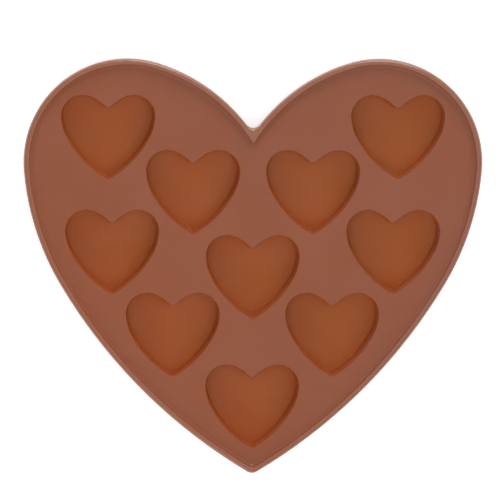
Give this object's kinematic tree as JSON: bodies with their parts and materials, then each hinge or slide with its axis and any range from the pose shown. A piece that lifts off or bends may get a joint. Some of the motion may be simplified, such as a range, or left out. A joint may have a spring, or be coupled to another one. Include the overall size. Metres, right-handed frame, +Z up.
{
  "type": "chocolate mould",
  "caption": "Flexible heart-shaped silicone sheet with a raised rim and small heart-shaped cups for setting chocolates.",
  "frame": {"origin": "centre of the bounding box at the undersides of the cups", "axes": "+X across the heart's width, +Y from its tip to its lobes, +Z up out of the openings"},
  "size_m": [0.2148, 0.1946, 0.0195],
  "materials": {
    "silicone": "satin"
  },
  "bodies": {
    "root": {"mould": "silicone"}
  },
  "joints": []
}
